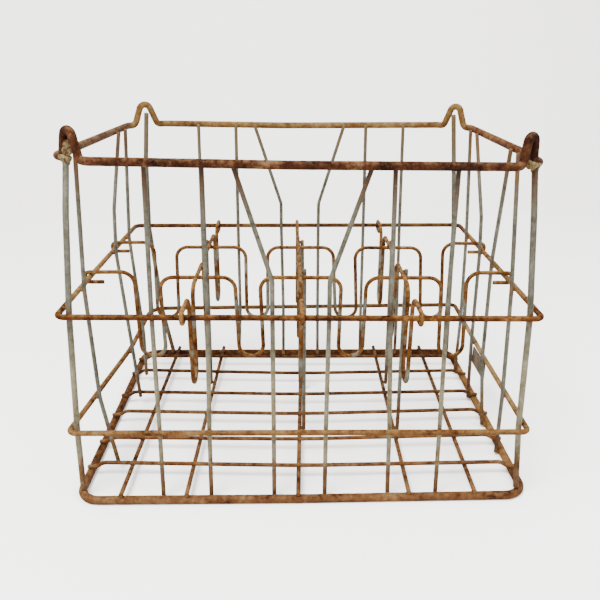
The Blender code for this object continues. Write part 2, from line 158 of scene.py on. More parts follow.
# Corner posts. The top of each is given by its offset from the middle of its ear towards
# the side run, its offset into the crate, and its height; then come the places that it
# passes on its way down. The front ones end under a leg of the ear, the rear ones in it.
POST_TOPS = [(7.6, 0, 325.8), (11.3, 0, 321.5), (0, 4, 341), (0, 4, 341)]
POSTS = [
    ("corner_post_front_left",
     [(-204.7, -139, 285), (-208.5, -152.5, 195), (-214.1, -155.3, 78.4), (-216, -154.9, 9.3)]),
    ("corner_post_front_right",
     [(197.5, -140.5, 285), (201.5, -154.5, 195), (206.5, -154, 78.4), (213, -153.5, 9.3)]),
    ("corner_post_rear_right",
     [(193.5, 136, 285), (206, 155, 195), (210, 153, 78.4), (213.6, 157.5, 9.3)]),
    ("corner_post_rear_left",
     [(-192.5, 134, 288), (-198, 145.5, 195), (-187.5, 140, 78.4), (-178, 149.5, 11)]),
]

# Dividers. A dip hangs between two neighbouring bottles, a hump bridges a crossing.
ROW_DIPS = {
    "row_divider_front": [(-160.5, 1.5), (-57, 3), (53.5, -1), (157.5, 4)],
    "row_divider_rear": [(-160.5, -2), (-52.5, -0.5), (51.5, 5), (156, 6)],
}
COLUMN_DIPS = {
    "column_divider_left": [(-108, -0.5), (0.5, 0), (112, 3)],
    "column_divider_center": [(-107.5, 0), (0.5, 0), (108.5, 0)],
    "column_divider_right": [(-107.5, 0), (0.5, 0), (107.5, -3)],
}
DIP_HALF = 13.0
HUMP_BEND = 13.5
DIP_BOTTOM_Z = 105.0
ROW_DIVIDER_HUMP_Z = 194.8
ROW_DIVIDER_END_Z = 200.6
COLUMN_DIVIDER_Z = ROW_DIVIDER_HUMP_Z + DIVIDER_WIRE + WELD_GAP
HOOK_STUB = 14.0
ROW_DIVIDERS = {"row_divider_front": -53, "row_divider_rear": 54.5}
COLUMN_DIVIDERS = {
    "column_divider_left": (-107.5, -107.5),
    "column_divider_center": (-2, -3.5),
    "column_divider_right": (102.5, 105),
}

# Legs that stand beside the crossings of the dividers. The front left one is lost.
# Each names the two dividers that cross there, its side of the second one, and the
# floor wire beside its foot.
DIVIDER_LEGS = {
    "divider_leg_front_center": ("row_divider_front", "column_divider_center", 1, "cross_wire_3"),
    "divider_leg_front_right": ("row_divider_front", "column_divider_right", 1, "cross_wire_4"),
    "divider_leg_rear_left": ("row_divider_rear", "column_divider_left", -1, "cross_wire_2"),
    "divider_leg_rear_center": ("row_divider_rear", "column_divider_center", 1, "cross_wire_3"),
    "divider_leg_rear_right": ("row_divider_rear", "column_divider_right", 1, "cross_wire_4"),
}
LEG_TOP_Z = 202.5
LEG_FOOT_Z = 9.2

# Floor. Cross wires give x at the front and at the back; long wires give y at the left
# end, in the middle and at the right end.
CROSS_WIRES = {
    "cross_wire_1": (-176.5, -171.5),
    "cross_wire_2": (-113, -108),
    "cross_wire_3": (-4.5, 3.5),
    "cross_wire_4": (104, 108.5),
    "cross_wire_5": (169, 175),
}
LONG_WIRES = {
    "long_wire_1": (-120.5, -126.5, -121),
    "long_wire_2": (-74.5, -78.5, -70),
    "long_wire_3": (-19.5, -26, -16.5),
    "long_wire_4": (26, 20, 28),
    "long_wire_5": (84, 75, 83),
    "long_wire_6": (126, 123.5, 126),
}
CROSS_Z = BASE_Z + (BASE_ROD + CROSS_WIRE) / 2 + WELD_GAP
LONG_END_Z = BASE_Z + (BASE_ROD + FLOOR_WIRE) / 2 + WELD_GAP
LONG_FLAT_Z = CROSS_Z + (CROSS_WIRE + FLOOR_WIRE) / 2 + WELD_GAP
CROSS_OVERHANG = 3.2
LONG_OVERHANG = 2.4
LONG_STEP_START = 6.5
LONG_STEP_END = 14.0

# Blank plate on the right wall, under the lower ring.
PLATE_LENGTH = 50.5
PLATE_HEIGHT = 21.5
PLATE_THICKNESS = 1.2
PLATE_CENTER_Y = 9.2
PLATE_TOP_Z = LOWER_RING_Z - RING_WIRE / 2 - WELD_GAP

# The whole crate is moved so that its bounding box is centred on the origin.
CENTERING = Vector((0.5, 0.76, 0.0))

# Fineness of the tubes; those above THICK_WIRE get the sides of a rod.
BEND_STEP = math.radians(8)
SPACING = 4.0
SHORTEST_STEP = 0.05
THICK_WIRE = 7.0
ROD_SIDES = 18
WIRE_SIDES = 12

# Rust has eaten into the skin by up to these shares of the radius.
ROD_PITTING = 0.07
WIRE_PITTING = 0.05
PIT_SIZE = 5.0
FRACTAL = (0.8, 2.0, 2)  # dimension, lacunarity and octaves

# A cut end narrows to this share of its width over this length.
CUT_WIDTH = 0.84
CUT_BEVEL = 0.45

# The plate is sheet metal behind a low border with rounded corners.
PLATE_CORNER = 2.5
PLATE_SHEET = 0.8
PLATE_BEVEL = 0.2
PLATE_BORDER = 1.2
PLATE_BORDER_FOOT = 1.6
PLATE_CORNER_STEPS = 4

# Weld beads sit wherever two wires come this close.
BEAD_REACH = 1.2
BEAD_SPREAD = 12.0
BEAD_SAMPLE = 2.0

# Beads are flat along the way across, and their size varies by a share of it.
BEAD_WIDTH = 0.95
BEAD_THICKNESS = 0.5
BEAD_UNEVEN = 0.25
BEAD_GRAIN = 1.5
LUMP_UNEVEN = 0.3
LUMP_GRAIN = 3

# Place and directions of the camera, and its lens.
CAMERA_PLACE = Vector((-12.78, -683.02, 417.70))
CAMERA_RIGHT = Vector((0.99987, -0.01446, 0.00743))
CAMERA_UP = Vector((-0.00165, 0.36419, 0.93132))
LENS = 38.8
SENSOR = 36.0
SHIFT_Y = -1 / 600

# The studio is bright, so surfaces are darker than they look by these shares.
STUDIO_SHARES = (0.2, 0.19, 0.165)
GAMMA = 2.2

# The paper under the crate, in metres.
PAPER_REACH = 4.0
PAPER_FRONT = -3.0
PAPER_FLAT_END = 1.1
PAPER_BEND = 0.6
PAPER_BEND_STEPS = 12
PAPER_TOP = 4.0
PAPER_COLOR = (0.86, 0.845, 0.83, 1)

# Name, place in metres, size and power of each light, and their target.
LIGHTS = [
    ("key_light", (-0.7, -1.1, 2.3), 1.2, 230.0),
    ("fill_light", (1.4, -0.9, 1.6), 1.6, 45.0),
]
LIGHT_TARGET = Vector((0, 0, 0.15))
SKY_COLOR = (1.0, 0.985, 0.97, 1)
SKY_STRENGTH = 1.9

# Noise values at the darkest and the palest tone of a surface.
TONE_LOW = 0.37
TONE_HIGH = 0.64

# Shine of the surfaces; rust has next to none.
RUST_GLOSS = 0.04
ZINC_GLOSS = 0.12
PLATE_GLOSS = 0.1
ZINC_METALLIC = 0.25
PAPER_GLOSS = 0.1

# Sizes of the pits and grains, the weight of the grains and strength of the bump.
BUMP_PITS = 2.2
BUMP_GRAINS = 0.7
GRAIN_WEIGHT = 0.4
BUMP_STRENGTH = 0.8

# Between these heights the upright wires are rusty at the foot and stained at the top.
FOOT_RUST = (16 * MM, 74 * MM)
TOP_STAIN = (268 * MM, 318 * MM)


def bend_points(before, corner, after, radius):
    """Points of the arc that rounds one corner of a route."""
    to_before = (before - corner).normalized()
    to_after = (after - corner).normalized()
    turn = math.pi - to_before.angle(to_after)
    if turn < math.radians(2):
        return [corner]
    reach = radius * math.tan(turn / 2)
    limit = 0.5 * min((before - corner).length, (after - corner).length)
    if reach > limit:
        reach = limit
        radius = reach / math.tan(turn / 2)
    middle = (to_before + to_after).normalized()
    center = corner + middle * math.hypot(reach, radius)
    start = corner + to_before * reach - center
    end = corner + to_after * reach - center
    count = max(1, math.ceil(turn / BEND_STEP))
    points = []
    for step in range(count + 1):
        share = step / count
        weight_start = math.sin((1 - share) * turn) / math.sin(turn)
        weight_end = math.sin(share * turn) / math.sin(turn)
        points.append(center + start * weight_start + end * weight_end)
    return points


def rounded(route, closed=False):
    """Turn a list of (point, bend radius) into the points of a smooth centre-line."""
    corners = [(Vector(point), radius) for point, radius in route]
    count = len(corners)
    points = []
    for index, (corner, radius) in enumerate(corners):
        is_end = not closed and index in (0, count - 1)
        if is_end or radius == 0:
            points.append(corner)
            continue
        before = corners[index - 1][0]
        after = corners[(index + 1) % count][0]
        points.extend(bend_points(before, corner, after, radius))
    return points


def contact(first, second):
    """Distance between the centre-lines of two wires that lie against each other."""
    return (first + second) / 2 + WELD_GAP


def along(run, axis, value):
    """Point and direction of a run where its x (0) or y (1) has the given value."""
    for first, second in zip(run, run[1:]):
        low, high = sorted((first[axis], second[axis]))
        if low <= value <= high:
            first, second = Vector(first), Vector(second)
            share = (value - first[axis]) / (second[axis] - first[axis])
            return first.lerp(second, share), (second - first).normalized()
    raise ValueError("the value lies outside the run")


def wall_run(corners, dents, wall):
    """The run of a ring along one wall, through its dent if it has one."""
    front_left, front_right, rear_right, rear_left = corners
    runs = {
        "front": (front_left, front_right),
        "rear": (rear_left, rear_right),
        "left": (front_left, rear_left),
        "right": (front_right, rear_right),
    }
    start, end = runs[wall]
    return [start, dents[wall], end] if wall in dents else [start, end]


def against(run, wall, place, distance):
    """x and y of a wire that lies inside a wall's run at the given place along it."""
    axis = 0 if wall in ("front", "rear") else 1
    point, direction = along(run, axis, place)
    inward = Vector((-direction.y, direction.x, 0)).normalized()
    if wall in ("rear", "left"):
        inward.negate()
    return (point + inward * distance).xy


def ear_ends(index):
    """Where an ear leaves the long run and the side run of the rim."""
    x, y, z = RIM_CORNERS[index]
    cut_x, cut_y = EAR_CUTS[index]
    toward_x = -math.copysign(1, x)
    toward_y = -math.copysign(1, y)
    return Vector((x + toward_x * cut_x, y, z)), Vector((x, y + toward_y * cut_y, z))


def rim_run(wall):
    """The straight run of the rim along one wall, between its two ears."""
    ends = [ear_ends(index) for index in range(4)]
    runs = {
        "front": (ends[0][0], ends[1][0]),
        "rear": (ends[3][0], ends[2][0]),
        "left": (ends[0][1], ends[3][1]),
        "right": (ends[1][1], ends[2][1]),
    }
    start, end = runs[wall]
    return [start, RIM_DENTS[wall], end] if wall in RIM_DENTS else [start, end]


def ear_route(start, end, start_flat, end_flat):
    """Hump of the rim that crosses one corner from start to end, with a short flat at each."""
    middle = (start + end) / 2 + Vector((0, 0, EAR_RISE))
    along_chord = (end - start).normalized()
    return [
        (start, EAR_FLAT_BEND),
        (start + along_chord * start_flat, EAR_FOOT_BEND),
        (middle - along_chord * EAR_TOP_HALF, EAR_TOP_BEND),
        (middle + along_chord * EAR_TOP_HALF, EAR_TOP_BEND),
        (end - along_chord * end_flat, EAR_FOOT_BEND),
        (end, EAR_FLAT_BEND),
    ]


def upright_route(wall, places, crank=None, crank_place=None, foot=None, foot_z=UPRIGHT_FOOT_Z):
    """Route of a wall wire from the rim to its foot, inside all four rods."""
    rim, middle, lower, base = places
    ring_reach = contact(RING_WIRE, UPRIGHT_WIRE)
    top = against(rim_run(wall), wall, rim, contact(RIM_ROD, UPRIGHT_WIRE))
    ring = against(wall_run(MID_CORNERS, MID_DENTS, wall), wall, middle, ring_reach)
    low_reach = ring_reach + SLANT_GAP if wall == "left" else ring_reach
    low = against(wall_run(LOWER_CORNERS, LOWER_DENTS, wall), wall, lower, low_reach)
    if foot is None:
        base_run = wall_run(BASE_CORNERS, BASE_DENTS, wall)
        foot = against(base_run, wall, base, contact(BASE_ROD, UPRIGHT_WIRE))
    route = [((*top, UPRIGHT_TOP_Z), 0)]
    if crank:
        share = (UPRIGHT_TOP_Z - crank) / (UPRIGHT_TOP_Z - MID_RING_Z)
        axis = 0 if wall in ("front", "rear") else 1
        bend = [a + (b - a) * share for a, b in zip(top, ring)]
        bend[axis] = middle if crank_place is None else crank_place
        route.append(((*bend, crank), CRANK_BEND))
    route.append(((*ring, MID_RING_Z), WIRE_BEND))
    route.append(((*low, LOWER_RING_Z), WIRE_BEND))
    route.append(((*foot, foot_z), 0))
    return route


def post_top(index):
    """Top of a corner post, by its ear."""
    aside, inset, z = POST_TOPS[index]
    long_end, side_end = ear_ends(index)
    chord = (side_end - long_end).normalized()
    inward = Vector((-chord.y, chord.x, 0)).normalized()
    if inward.x * long_end.x > 0:
        inward.negate()
    top = (long_end + side_end) / 2 + chord * aside + inward * inset
    return top.x, top.y, z


def hook_route(ring_at, z, side):
    """Hook round a ring wire, as (distance, height) pairs, from its stub to the inside."""
    reach = contact(RING_WIRE, DIVIDER_WIRE)
    return [
        ((ring_at - side * HOOK_STUB, z - reach), 0),
        ((ring_at + side * reach, z - reach), reach),
        ((ring_at + side * reach, z + reach), reach),
    ]


def meander_route(dips, hump_z, end_z, start_ring, end_ring):
    """Hooked end, dips and humps in turn, hooked end, as (distance, height) pairs."""
    route = hook_route(start_ring, MID_RING_Z, -1)
    for index, (top, lean) in enumerate(dips):
        before_z = end_z if index == 0 else hump_z
        after_z = end_z if index == len(dips) - 1 else hump_z
        bottom = top + lean
        route.append(((top - DIP_HALF, before_z), HUMP_BEND))
        route.append(((bottom - DIP_HALF, DIP_BOTTOM_Z), DIP_HALF))
        route.append(((bottom + DIP_HALF, DIP_BOTTOM_Z), DIP_HALF))
        route.append(((top + DIP_HALF, after_z), HUMP_BEND))
    route.extend(reversed(hook_route(end_ring, MID_RING_Z, 1)))
    return route


def column_x(name, y):
    """x of a column divider, which may run slightly askew."""
    front_x, rear_x = COLUMN_DIVIDERS[name]
    front_y = MID_CORNERS[0][1]
    rear_y = MID_CORNERS[2][1]
    return front_x + (rear_x - front_x) * (y - front_y) / (rear_y - front_y)


def cross_x(name, y):
    """x of a floor cross wire at the given y."""
    front_x, rear_x = CROSS_WIRES[name]
    front_y = BASE_CORNERS[0][1]
    rear_y = BASE_CORNERS[2][1]
    return front_x + (rear_x - front_x) * (y - front_y) / (rear_y - front_y)


ROUTES = {}


def linear(color):
    """Colour from 0 to 255, as it looks in the bright studio, as a surface colour with alpha."""
    return (*(share * (value / 255) ** GAMMA for value, share in zip(color, STUDIO_SHARES)), 1.0)


class Finish:
    """A material under construction, with short names for the nodes it uses."""

    def __init__(self, name):
        self.material = bpy.data.materials.new(name)
        self.material.use_nodes = True
        self.tree = self.material.node_tree
        self.shader = self.tree.nodes["Principled BSDF"]
        self.place = self.node("ShaderNodeTexCoord").outputs["Object"]
        axes = self.node("ShaderNodeSeparateXYZ")
        self.tree.links.new(self.place, axes.inputs[0])
        self.x, self.y, self.z = axes.outputs

    def node(self, kind, **settings):
        node = self.tree.nodes.new(kind)
        for key, value in settings.items():
            setattr(node, key, value)
        return node

    def feed(self, socket, value):
        if isinstance(value, bpy.types.NodeSocket):
            self.tree.links.new(value, socket)
        else:
            socket.default_value = value

    def cloud(self, size, detail, roughness, shift=0.0):
        """Cloudy value round 0.5, with features of about the given size in millimetres."""
        source = self.place
        if shift:
            mapping = self.node("ShaderNodeMapping")
            self.feed(mapping.inputs["Vector"], self.place)
            mapping.inputs["Location"].default_value = (shift, shift * 0.7, shift * 1.3)
            source = mapping.outputs[0]
        node = self.node("ShaderNodeTexNoise")
        self.feed(node.inputs["Vector"], source)
        node.inputs["Scale"].default_value = 1 / (size * MM)
        node.inputs["Detail"].default_value = detail
        node.inputs["Roughness"].default_value = roughness
        return node.outputs["Fac"]

    def calc(self, operation, first, second=0.0, clamp=False):
        node = self.node("ShaderNodeMath", operation=operation, use_clamp=clamp)
        self.feed(node.inputs[0], first)
        self.feed(node.inputs[1], second)
        return node.outputs[0]

    def weigh(self, first, second, share):
        """Sum of two values, with the given share of the first one."""
        return self.calc("ADD", self.calc("MULTIPLY", first, share),
                         self.calc("MULTIPLY", second, 1 - share))

    def remap(self, value, low, high, start=0.0, end=1.0):
        node = self.node("ShaderNodeMapRange", interpolation_type="SMOOTHSTEP")
        for socket, item in zip(node.inputs, (value, low, high, start, end)):
            self.feed(socket, item)
        return node.outputs[0]

    def ramp(self, value, colors, low=TONE_LOW, high=TONE_HIGH):
        """Colours spread evenly between two values of a cloudy noise."""
        node = self.node("ShaderNodeValToRGB")
        elements = node.color_ramp.elements
        while len(elements) < len(colors):
            elements.new(0.5)
        for index, color in enumerate(colors):
            elements[index].position = low + (high - low) * index / (len(colors) - 1)
            elements[index].color = linear(color)
        self.feed(node.inputs[0], value)
        return node.outputs["Color"]

    def mix(self, share, first, second):
        """Blend of two colours, each from a node or given as it looks."""
        node = self.node("ShaderNodeMix", data_type="RGBA", blend_type="MIX")
        self.feed(node.inputs["Factor"], share)
        for socket, color in (("A", first), ("B", second)):
            self.feed(node.inputs[socket], linear(color) if isinstance(color, tuple) else color)
        return node.outputs["Result"]

    def specks(self, color, speck, share, size, shift, low=0.6, high=0.72, detail=3.0):
        """Scatter specks of another colour over a colour."""
        spots = self.remap(self.cloud(size, detail, 0.7, shift), low, high)
        return self.mix(self.calc("MULTIPLY", spots, share), color, speck)

    def scale(self, color, pale, share, mottle, facing, patchy):
        """Lay patches of pale scale on what faces up, together with a painted highlight on the
        tops.
        """
        spots = self.calc("MULTIPLY", self.remap(self.upward(), facing, 0.95),
                          self.remap(mottle, 0.4, patchy), clamp=True)
        return self.mix(self.calc("MULTIPLY", spots, share), color, pale)

    def upward(self):
        """1 where the surface faces up, where dust and pale scale gather and where the highlight is
        painted.
        """
        geometry = self.node("ShaderNodeNewGeometry")
        axes = self.node("ShaderNodeSeparateXYZ")
        self.tree.links.new(geometry.outputs["Normal"], axes.inputs[0])
        return axes.outputs[2]

    def complete(self, color, rough, depth, gloss=RUST_GLOSS, metallic=0.0):
        """Connect the colour and roughness, with pits and grains as a bump."""
        self.shader.inputs["Specular IOR Level"].default_value = gloss
        self.feed(self.shader.inputs["Base Color"], color)
        self.feed(self.shader.inputs["Roughness"], rough)
        self.feed(self.shader.inputs["Metallic"], metallic)
        pits = self.cloud(BUMP_PITS, 3.0, 0.65, shift=3.1)
        grains = self.cloud(BUMP_GRAINS, 2.0, 0.6, shift=7.7)
        height = self.calc("ADD", pits, self.calc("MULTIPLY", grains, GRAIN_WEIGHT))
        bump = self.node("ShaderNodeBump")
        bump.inputs["Distance"].default_value = depth * MM
        bump.inputs["Strength"].default_value = BUMP_STRENGTH
        self.feed(bump.inputs["Height"], height)
        self.tree.links.new(bump.outputs[0], self.shader.inputs["Normal"])
        return self.material


# Rust colours by wall, from the darkest to the palest scale.
RIM_COLORS = {
    "front": [(44, 22, 16), (80, 44, 28), (112, 68, 44), (172, 134, 98)],
    "rear": [(96, 60, 30), (150, 108, 64), (178, 140, 88), (206, 178, 130)],
    "left": [(74, 44, 30), (112, 74, 50), (142, 104, 74), (180, 148, 112)],
    "right": [(66, 34, 18), (110, 64, 33), (142, 88, 45), (180, 134, 84)],
}
RING_COLORS = {
    "front": [(54, 26, 10), (94, 50, 18), (132, 80, 38), (190, 142, 86)],
    "rear": [(58, 30, 12), (102, 62, 28), (132, 88, 48), (170, 130, 84)],
    "left": [(96, 58, 28), (154, 108, 62), (180, 136, 86), (212, 174, 122)],
    "right": [(94, 56, 24), (152, 106, 54), (184, 140, 84), (214, 178, 124)],
}
LOWER_COLORS = {
    "front": [(84, 50, 26), (140, 94, 54), (166, 124, 78), (196, 160, 112)],
    "rear": [(60, 32, 12), (108, 68, 30), (138, 96, 54), (174, 136, 88)],
    "left": [(72, 40, 18), (128, 82, 42), (156, 112, 66), (190, 152, 104)],
    "right": [(116, 78, 38), (184, 138, 80), (204, 168, 112), (222, 196, 146)],
}
BASE_COLORS = {
    "front": [(70, 34, 22), (128, 82, 52), (150, 104, 68), (182, 146, 104)],
    "rear": [(44, 18, 6), (80, 40, 14), (110, 66, 32), (140, 98, 58)],
    "left": [(54, 26, 12), (98, 54, 24), (128, 80, 42), (164, 122, 80)],
    "right": [(84, 46, 22), (156, 104, 60), (182, 132, 80), (206, 166, 114)],
}
FLOOR_COLORS = {
    "front": [(74, 36, 20), (142, 88, 52), (172, 122, 80), (200, 162, 118)],
    "rear": [(38, 16, 6), (72, 38, 12), (104, 62, 26), (140, 98, 54)],
    "left": [(52, 28, 14), (100, 64, 36), (134, 94, 58), (166, 130, 90)],
    "right": [(58, 32, 16), (112, 72, 42), (144, 104, 64), (174, 138, 96)],
}
DIVIDER_COLORS = {
    "front": [(66, 34, 12), (134, 84, 40), (170, 118, 64), (214, 172, 110)],
    "rear": [(56, 28, 8), (116, 70, 30), (150, 102, 52), (190, 148, 94)],
    "left": [(60, 32, 14), (112, 72, 38), (146, 104, 62), (182, 146, 102)],
    "right": [(58, 30, 12), (112, 70, 36), (146, 104, 60), (184, 148, 104)],
}
GALVANISED = [(96, 92, 80), (132, 130, 116), (152, 152, 140), (188, 188, 178)]
PALE_ZINC = [(128, 116, 90), (172, 162, 132), (190, 184, 158), (216, 212, 192)]
WIRE_RUST = [(62, 34, 16), (120, 80, 46), (148, 108, 68), (182, 144, 98)]
STAIN = {
    "front": (90, 54, 24),
    "rear": (146, 128, 92),
    "left": (130, 90, 52),
    "right": (136, 96, 54),
}


def by_wall(finish, colors):
    """Blend four colours by the wall that the surface belongs to."""
    near, far = 101 * MM, 129 * MM
    side = finish.remap(finish.x, -20 * MM, 20 * MM)
    front = finish.remap(finish.y, -far, -near, 1.0, 0.0)
    rear = finish.remap(finish.y, near, far)
    result = finish.mix(side, colors["left"], colors["right"])
    result = finish.mix(front, result, colors["front"])
    return finish.mix(rear, result, colors["rear"])


def by_depth(finish, colors):
    """Blend from the front colour to the rear one, with the left end a little darker."""
    depth = finish.remap(finish.y, -120 * MM, 140 * MM)
    across = finish.remap(finish.x, -150 * MM, 150 * MM)
    ends = finish.mix(across, colors["left"], colors["right"])
    result = finish.mix(depth, colors["front"], colors["rear"])
    return finish.mix(0.2, result, ends)


def rusty(name, colors, blend, scale_and_highlight_share, depth=0.5):
    """Brown rust with dark pits, paler scale and a painted highlight on the upper side, and worn
    flecks.
    """
    finish = Finish(name)
    patches = finish.cloud(26.0, 5.0, 0.62)
    mottle = finish.cloud(6.0, 5.0, 0.7, shift=1.7)
    tone = finish.weigh(patches, mottle, 0.55)
    color = blend(finish, {wall: finish.ramp(tone, stops) for wall, stops in colors.items()})
    palest = blend(finish, {wall: stops[-1] for wall, stops in colors.items()})
    darkest = blend(finish, {wall: stops[0] for wall, stops in colors.items()})
    # Pale on what faces up: partly rust scale, partly a painted highlight from above.
    color = finish.scale(color, palest, scale_and_highlight_share, mottle, 0.1, 0.62)
    color = finish.specks(color, darkest, 0.8, 2.6, 5.3)
    color = finish.specks(color, palest, 0.55, 2.1, 9.1)
    rough = finish.remap(mottle, 0.3, 0.7, 0.9, 0.68)
    return finish.complete(color, rough, depth)


def galvanised(name):
    """Dull zinc-coated wire: stained under the rim, spotted, and rusty towards the floor."""
    finish = Finish(name)
    patches = finish.cloud(22.0, 5.0, 0.6)
    mottle = finish.cloud(4.5, 4.0, 0.7, shift=2.3)
    tone = finish.weigh(patches, mottle, 0.5)

    # The zinc is paler on the lower half of the front.
    pale = finish.calc("MULTIPLY", finish.remap(finish.y, -100 * MM, -135 * MM),
                       finish.remap(finish.z, 205 * MM, 120 * MM), clamp=True)
    zinc = finish.mix(pale, finish.ramp(tone, GALVANISED), finish.ramp(tone, PALE_ZINC))
    rust = finish.ramp(tone, WIRE_RUST, 0.36, 0.66)

    # Rust spots grow towards the foot, and round the welds at the middle ring.
    ragged = finish.calc("MULTIPLY", finish.calc("SUBTRACT", patches, 0.5), 70 * MM)
    height = finish.calc("ADD", finish.z, ragged)
    foot = finish.remap(height, *FOOT_RUST, 1.0, 0.0)
    limit = finish.calc("SUBTRACT", 0.66, finish.calc("MULTIPLY", foot, 0.42))
    spots = finish.calc("MULTIPLY", finish.calc("SUBTRACT", mottle, limit), 9.0, clamp=True)
    away = finish.calc("ABSOLUTE", finish.calc("SUBTRACT", finish.z, MID_RING_Z * MM))
    weld = finish.remap(away, 3 * MM, 13 * MM, 0.75, 0.0)
    weld = finish.calc("MULTIPLY", weld, finish.remap(patches, 0.4, 0.6))
    color = finish.mix(finish.calc("MAXIMUM", spots, weld), zinc, rust)

    # The tops are stained, except those of the front left corner.
    stained = finish.remap(height, *TOP_STAIN)
    stained = finish.calc("MULTIPLY", stained, finish.remap(mottle, 0.25, 0.6, 0.55, 1.0))
    elsewhere = finish.calc("MAXIMUM", finish.remap(finish.x, -198 * MM, -188 * MM),
                            finish.remap(finish.y, -118 * MM, -108 * MM))
    stained = finish.calc("MULTIPLY", stained, elsewhere)
    color = finish.mix(stained, color, finish.mix(0.25, by_wall(finish, STAIN), rust))

    color = finish.specks(color, (58, 44, 28), 0.7, 1.8, 5.3, low=0.62)
    color = finish.specks(color, (196, 190, 166), 0.5, 2.4, 9.1)
    bare = finish.calc("SUBTRACT", 1.0, finish.calc("MAXIMUM", spots, stained), clamp=True)
    metallic = finish.calc("MULTIPLY", bare, ZINC_METALLIC)
    rough = finish.remap(spots, 0.0, 1.0, 0.55, 0.85)
    return finish.complete(color, rough, 0.3, ZINC_GLOSS, metallic)


def divider_rusty(name):
    """Orange-brown rust with the zinc still showing on parts of the legs."""
    finish = Finish(name)
    patches = finish.cloud(24.0, 5.0, 0.62, shift=4.1)
    mottle = finish.cloud(5.0, 5.0, 0.7, shift=1.7)
    tone = finish.weigh(patches, mottle, 0.5)
    color = by_depth(
        finish, {wall: finish.ramp(tone, stops) for wall, stops in DIVIDER_COLORS.items()})
    legs = finish.remap(finish.z, 188 * MM, 168 * MM)
    left_over = finish.remap(patches, 0.5, 0.58)
    color = finish.mix(
        finish.calc("MULTIPLY", legs, left_over), color, finish.ramp(tone, GALVANISED))
    # Golden tan on what faces up: partly scale, partly a painted highlight from above.
    color = finish.scale(color, (222, 176, 110), 0.5, mottle, 0.2, 0.6)
    color = finish.specks(color, (50, 26, 10), 0.75, 2.2, 5.3)
    rough = finish.remap(mottle, 0.3, 0.7, 0.88, 0.66)
    return finish.complete(color, rough, 0.4)


def plate_stained(name):
    """Blank sheet plate, tarnished, with specks of rust."""
    finish = Finish(name)
    patches = finish.cloud(12.0, 5.0, 0.6, shift=2.0)
    color = finish.ramp(patches, [(96, 72, 48), (134, 112, 82), (160, 142, 112)], 0.36)
    color = finish.specks(
        color, (88, 54, 28), 0.6, 2.0, 5.3, low=0.55, high=0.7, detail=4.0)
    return finish.complete(color, 0.6, 0.15, PLATE_GLOSS)


def weld_scale(name):
    """Pale, crusty weld metal and flux at the front ears."""
    finish = Finish(name)
    mottle = finish.cloud(4.0, 5.0, 0.7, shift=6.4)
    color = finish.ramp(mottle, [(96, 62, 34), (160, 134, 94), (206, 190, 150)], 0.38, 0.6)
    return finish.complete(color, 0.85, 0.6)


FINISHES = {
    "weld_scale": weld_scale("weld_scale"),
    "rim_rust": rusty("rim_rust", RIM_COLORS, by_wall, 0.5, 0.6),
    "ring_rust": rusty("ring_rust", RING_COLORS, by_wall, 0.5),
    "lower_rust": rusty("lower_rust", LOWER_COLORS, by_wall, 0.5),
    "base_rust": rusty("base_rust", BASE_COLORS, by_wall, 0.35, 0.7),
    "floor_rust": rusty("floor_rust", FLOOR_COLORS, by_depth, 0.4),
    "divider_rust": divider_rusty("divider_rust"),
    "galvanised": galvanised("galvanised"),
    "plate_metal": plate_stained("plate_metal"),
}


def in_box(point):
    """The point, moved inside the frame's box if it lies outside."""
    low, high = CAD_BOX
    return Vector(min(max(value, a), b) for value, a, b in zip(point, low, high))


def add_piece(name, mesh, slot, *nodes, finish=None):
    """A finished mesh as a piece of the crate that stands for the named solids."""
    mesh.materials.append(FINISHES[finish or slot])
    piece = bpy.data.objects.new(name, mesh)
    bpy.context.scene.collection.objects.link(piece)
    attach(piece, "root")
    if nodes:
        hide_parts(*nodes)
    return piece


def spaced(points, closed, spacing):
    """The same line with its long stretches cut into steps of at most the spacing."""
    line = list(points) + ([points[0]] if closed else [])
    result = []
    for first, second in zip(line, line[1:]):
        count = max(1, math.ceil((second - first).length / spacing))
        result.extend(first.lerp(second, step / count) for step in range(count))
    if not closed:
        result.append(line[-1])
    return [point for index, point in enumerate(result)
            if index == 0 or (point - result[index - 1]).length > SHORTEST_STEP]


def cut_ends(points):
    """Add a point just inside each end, and say how wide the tube is at every point."""
    first = points[0] + (points[1] - points[0]).normalized() * CUT_BEVEL
    last = points[-1] + (points[-2] - points[-1]).normalized() * CUT_BEVEL
    points = [points[0], first, *points[1:-1], last, points[-1]]
    return points, [CUT_WIDTH] + [1.0] * (len(points) - 2) + [CUT_WIDTH]


def directions(points, closed):
    """Direction of travel and a steady side direction at every point of a line."""
    count = len(points)
    travel = []
    for index in range(count):
        after = points[(index + 1) % count] if closed else points[min(index + 1, count - 1)]
        before = points[index - 1] if closed or index else points[0]
        travel.append((after - before).normalized())
    guide = Vector((0, 0, 1)) if abs(travel[0].z) < 0.8 else Vector((0, 1, 0))
    side = travel[0].cross(guide).normalized()
    sides = [side]
    for before, after in zip(travel, travel[1:]):
        side = before.rotation_difference(after) @ side
        side = (side - after * side.dot(after)).normalized()
        sides.append(side)
    if closed:
        back = travel[-1].rotation_difference(travel[0]) @ sides[-1]
        turn = math.atan2(back.cross(sides[0]).dot(travel[0]), back.dot(sides[0]))
        sides = [Matrix.Rotation(turn * index / count, 3, travel[index]) @ item
                 for index, item in enumerate(sides)]
    return travel, sides


def tube_faces(count, around, closed=False):
    """Faces of a tube with the given count of loops and of points around, with flat ends."""
    faces = []
    for index in range(count if closed else count - 1):
        here, there = index * around, (index + 1) % count * around
        for step in range(around):
            following = (step + 1) % around
            faces.append((here + step, here + following, there + following, there + step))
    if not closed:
        faces.append(tuple(reversed(range(around))))
        faces.append(tuple((count - 1) * around + step for step in range(around)))
    return faces


def new_mesh(name, vertices, faces):
    mesh = bpy.data.meshes.new(name)
    mesh.from_pydata(vertices, [], faces)
    mesh.update()
    return mesh


